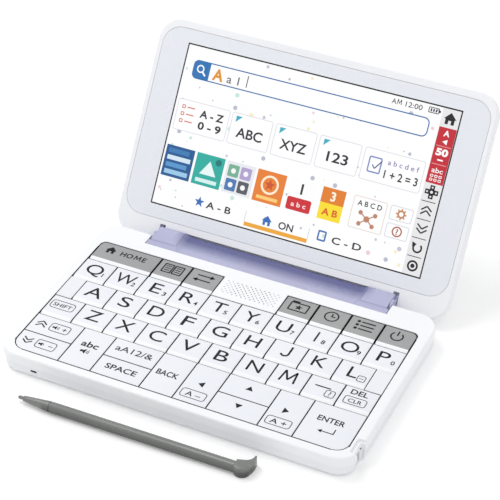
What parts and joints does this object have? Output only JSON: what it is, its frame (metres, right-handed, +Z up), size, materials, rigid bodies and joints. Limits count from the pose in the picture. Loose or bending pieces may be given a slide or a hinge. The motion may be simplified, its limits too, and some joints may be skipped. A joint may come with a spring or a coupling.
{
  "type": "electronic dictionary",
  "caption": "Clamshell electronic dictionary, open: display lid on a barrel hinge, letter keyboard with function row, sound holes, and a loose stylus with a hooked thumb head.",
  "frame": {"origin": "centre of the base's flat underside", "axes": "+X to the user's right, +Y from the user towards the hinge and lid, +Z up from the table"},
  "size_m": [0.1512, 0.1666, 0.0819],
  "materials": {
    "shell_white": "satin moulded white",
    "case_white": "satin moulded white",
    "lid_white": "gloss moulded white",
    "lid_rim_white": "gloss moulded white",
    "hinge_lavender": "satin lavender",
    "hinge_steel": "plain",
    "panel_print": "back-printed pale grey-blue",
    "display": "touch display, lit white",
    "circuit_board": "solder resist",
    "battery_foil": "laminated foil",
    "speaker_can": "black",
    "dome_rubber": "silicone",
    "letter_key": "satin very pale blue-grey",
    "function_key": "satin mid grey",
    "stylus_grey": "satin dark grey"
  },
  "bodies": {
    "base": {"bottom_case": "case_white", "keyboard_bezel": "shell_white", "hinge_barrel": "hinge_lavender", "main_board": "circuit_board", "battery_pack": "battery_foil", "speaker": "speaker_can", "key_sheet": "dome_rubber"},
    "lid": {"lid_cover": "lid_white", "lid_frame": "lid_rim_white", "display_panel": "panel_print", "lcd_module": "display", "hinge_arms": "hinge_steel"},
    "stylus": {"stylus": "stylus_grey"},
    "key_a": {"key_a": "letter_key"},
    "key_b": {"key_b": "letter_key"},
    "key_back": {"key_back": "letter_key"},
    "key_c": {"key_c": "letter_key"},
    "key_d": {"key_d": "letter_key"},
    "key_dash": {"key_dash": "letter_key"},
    "key_delete": {"key_delete": "letter_key"},
    "key_down": {"key_down": "letter_key"},
    "key_e": {"key_e": "letter_key"},
    "key_enter": {"key_enter": "letter_key"},
    "key_f": {"key_f": "letter_key"},
    "key_folder": {"key_folder": "function_key"},
    "key_g": {"key_g": "letter_key"},
    "key_h": {"key_h": "letter_key"},
    "key_history": {"key_history": "function_key"},
    "key_home": {"key_home": "function_key"},
    "key_i": {"key_i": "letter_key"},
    "key_j": {"key_j": "letter_key"},
    "key_k": {"key_k": "letter_key"},
    "key_l": {"key_l": "letter_key"},
    "key_left": {"key_left": "letter_key"},
    "key_list": {"key_list": "function_key"},
    "key_m": {"key_m": "letter_key"},
    "key_n": {"key_n": "letter_key"},
    "key_o": {"key_o": "letter_key"},
    "key_p": {"key_p": "letter_key"},
    "key_page_down": {"key_page_down": "letter_key"},
    "key_page_up": {"key_page_up": "letter_key"},
    "key_phrases": {"key_phrases": "function_key"},
    "key_power": {"key_power": "function_key"},
    "key_q": {"key_q": "letter_key"},
    "key_r": {"key_r": "letter_key"},
    "key_right": {"key_right": "letter_key"},
    "key_s": {"key_s": "letter_key"},
    "key_shift": {"key_shift": "letter_key"},
    "key_space": {"key_space": "letter_key"},
    "key_symbol": {"key_symbol": "letter_key"},
    "key_t": {"key_t": "letter_key"},
    "key_u": {"key_u": "letter_key"},
    "key_up": {"key_up": "letter_key"},
    "key_v": {"key_v": "letter_key"},
    "key_voice": {"key_voice": "letter_key"},
    "key_w": {"key_w": "letter_key"},
    "key_words": {"key_words": "function_key"},
    "key_x": {"key_x": "letter_key"},
    "key_y": {"key_y": "letter_key"},
    "key_z": {"key_z": "letter_key"}
  },
  "joints": [
    {"name": "lid_hinge", "type": "hinge", "parent": "base", "child": "lid", "pos_m": [0, 0.0468, 0.0071], "axis": [-1, 0, 0], "range_deg": [-123.8, 3]},
    {"name": "stylus_lift", "type": "slide", "parent": "base", "child": "stylus", "axis": [0, 0, 1], "range_m": [0, 0.06]},
    {"name": "press_a", "type": "slide", "parent": "base", "child": "key_a", "axis": [0, 0, -1], "range_m": [0, 0.0008], "stiffness_N_per_m": 1500},
    {"name": "press_b", "type": "slide", "parent": "base", "child": "key_b", "axis": [0, 0, -1], "range_m": [0, 0.0008], "stiffness_N_per_m": 1500},
    {"name": "press_back", "type": "slide", "parent": "base", "child": "key_back", "axis": [0, 0, -1], "range_m": [0, 0.0008], "stiffness_N_per_m": 1500},
    {"name": "press_c", "type": "slide", "parent": "base", "child": "key_c", "axis": [0, 0, -1], "range_m": [0, 0.0008], "stiffness_N_per_m": 1500},
    {"name": "press_d", "type": "slide", "parent": "base", "child": "key_d", "axis": [0, 0, -1], "range_m": [0, 0.0008], "stiffness_N_per_m": 1500},
    {"name": "press_dash", "type": "slide", "parent": "base", "child": "key_dash", "axis": [0, 0, -1], "range_m": [0, 0.0008], "stiffness_N_per_m": 1500},
    {"name": "press_delete", "type": "slide", "parent": "base", "child": "key_delete", "axis": [0, 0, -1], "range_m": [0, 0.0008], "stiffness_N_per_m": 1500},
    {"name": "press_down", "type": "slide", "parent": "base", "child": "key_down", "axis": [0, 0, -1], "range_m": [0, 0.0008], "stiffness_N_per_m": 1500},
    {"name": "press_e", "type": "slide", "parent": "base", "child": "key_e", "axis": [0, 0, -1], "range_m": [0, 0.0008], "stiffness_N_per_m": 1500},
    {"name": "press_enter", "type": "slide", "parent": "base", "child": "key_enter", "axis": [0, 0, -1], "range_m": [0, 0.0008], "stiffness_N_per_m": 1500},
    {"name": "press_f", "type": "slide", "parent": "base", "child": "key_f", "axis": [0, 0, -1], "range_m": [0, 0.0008], "stiffness_N_per_m": 1500},
    {"name": "press_folder", "type": "slide", "parent": "base", "child": "key_folder", "axis": [0, 0, -1], "range_m": [0, 0.0008], "stiffness_N_per_m": 1500},
    {"name": "press_g", "type": "slide", "parent": "base", "child": "key_g", "axis": [0, 0, -1], "range_m": [0, 0.0008], "stiffness_N_per_m": 1500},
    {"name": "press_h", "type": "slide", "parent": "base", "child": "key_h", "axis": [0, 0, -1], "range_m": [0, 0.0008], "stiffness_N_per_m": 1500},
    {"name": "press_history", "type": "slide", "parent": "base", "child": "key_history", "axis": [0, 0, -1], "range_m": [0, 0.0008], "stiffness_N_per_m": 1500},
    {"name": "press_home", "type": "slide", "parent": "base", "child": "key_home", "axis": [0, 0, -1], "range_m": [0, 0.0008], "stiffness_N_per_m": 1500},
    {"name": "press_i", "type": "slide", "parent": "base", "child": "key_i", "axis": [0, 0, -1], "range_m": [0, 0.0008], "stiffness_N_per_m": 1500},
    {"name": "press_j", "type": "slide", "parent": "base", "child": "key_j", "axis": [0, 0, -1], "range_m": [0, 0.0008], "stiffness_N_per_m": 1500},
    {"name": "press_k", "type": "slide", "parent": "base", "child": "key_k", "axis": [0, 0, -1], "range_m": [0, 0.0008], "stiffness_N_per_m": 1500},
    {"name": "press_l", "type": "slide", "parent": "base", "child": "key_l", "axis": [0, 0, -1], "range_m": [0, 0.0008], "stiffness_N_per_m": 1500},
    {"name": "press_left", "type": "slide", "parent": "base", "child": "key_left", "axis": [0, 0, -1], "range_m": [0, 0.0008], "stiffness_N_per_m": 1500},
    {"name": "press_list", "type": "slide", "parent": "base", "child": "key_list", "axis": [0, 0, -1], "range_m": [0, 0.0008], "stiffness_N_per_m": 1500},
    {"name": "press_m", "type": "slide", "parent": "base", "child": "key_m", "axis": [0, 0, -1], "range_m": [0, 0.0008], "stiffness_N_per_m": 1500},
    {"name": "press_n", "type": "slide", "parent": "base", "child": "key_n", "axis": [0, 0, -1], "range_m": [0, 0.0008], "stiffness_N_per_m": 1500},
    {"name": "press_o", "type": "slide", "parent": "base", "child": "key_o", "axis": [0, 0, -1], "range_m": [0, 0.0008], "stiffness_N_per_m": 1500},
    {"name": "press_p", "type": "slide", "parent": "base", "child": "key_p", "axis": [0, 0, -1], "range_m": [0, 0.0008], "stiffness_N_per_m": 1500},
    {"name": "press_page_down", "type": "slide", "parent": "base", "child": "key_page_down", "axis": [0, 0, -1], "range_m": [0, 0.0008], "stiffness_N_per_m": 1500},
    {"name": "press_page_up", "type": "slide", "parent": "base", "child": "key_page_up", "axis": [0, 0, -1], "range_m": [0, 0.0008], "stiffness_N_per_m": 1500},
    {"name": "press_phrases", "type": "slide", "parent": "base", "child": "key_phrases", "axis": [0, 0, -1], "range_m": [0, 0.0008], "stiffness_N_per_m": 1500},
    {"name": "press_power", "type": "slide", "parent": "base", "child": "key_power", "axis": [0, 0, -1], "range_m": [0, 0.0008], "stiffness_N_per_m": 1500},
    {"name": "press_q", "type": "slide", "parent": "base", "child": "key_q", "axis": [0, 0, -1], "range_m": [0, 0.0008], "stiffness_N_per_m": 1500},
    {"name": "press_r", "type": "slide", "parent": "base", "child": "key_r", "axis": [0, 0, -1], "range_m": [0, 0.0008], "stiffness_N_per_m": 1500},
    {"name": "press_right", "type": "slide", "parent": "base", "child": "key_right", "axis": [0, 0, -1], "range_m": [0, 0.0008], "stiffness_N_per_m": 1500},
    {"name": "press_s", "type": "slide", "parent": "base", "child": "key_s", "axis": [0, 0, -1], "range_m": [0, 0.0008], "stiffness_N_per_m": 1500},
    {"name": "press_shift", "type": "slide", "parent": "base", "child": "key_shift", "axis": [0, 0, -1], "range_m": [0, 0.0008], "stiffness_N_per_m": 1500},
    {"name": "press_space", "type": "slide", "parent": "base", "child": "key_space", "axis": [0, 0, -1], "range_m": [0, 0.0008], "stiffness_N_per_m": 1500},
    {"name": "press_symbol", "type": "slide", "parent": "base", "child": "key_symbol", "axis": [0, 0, -1], "range_m": [0, 0.0008], "stiffness_N_per_m": 1500},
    {"name": "press_t", "type": "slide", "parent": "base", "child": "key_t", "axis": [0, 0, -1], "range_m": [0, 0.0008], "stiffness_N_per_m": 1500},
    {"name": "press_u", "type": "slide", "parent": "base", "child": "key_u", "axis": [0, 0, -1], "range_m": [0, 0.0008], "stiffness_N_per_m": 1500},
    {"name": "press_up", "type": "slide", "parent": "base", "child": "key_up", "axis": [0, 0, -1], "range_m": [0, 0.0008], "stiffness_N_per_m": 1500},
    {"name": "press_v", "type": "slide", "parent": "base", "child": "key_v", "axis": [0, 0, -1], "range_m": [0, 0.0008], "stiffness_N_per_m": 1500},
    {"name": "press_voice", "type": "slide", "parent": "base", "child": "key_voice", "axis": [0, 0, -1], "range_m": [0, 0.0008], "stiffness_N_per_m": 1500},
    {"name": "press_w", "type": "slide", "parent": "base", "child": "key_w", "axis": [0, 0, -1], "range_m": [0, 0.0008], "stiffness_N_per_m": 1500},
    {"name": "press_words", "type": "slide", "parent": "base", "child": "key_words", "axis": [0, 0, -1], "range_m": [0, 0.0008], "stiffness_N_per_m": 1500},
    {"name": "press_x", "type": "slide", "parent": "base", "child": "key_x", "axis": [0, 0, -1], "range_m": [0, 0.0008], "stiffness_N_per_m": 1500},
    {"name": "press_y", "type": "slide", "parent": "base", "child": "key_y", "axis": [0, 0, -1], "range_m": [0, 0.0008], "stiffness_N_per_m": 1500},
    {"name": "press_z", "type": "slide", "parent": "base", "child": "key_z", "axis": [0, 0, -1], "range_m": [0, 0.0008], "stiffness_N_per_m": 1500}
  ]
}
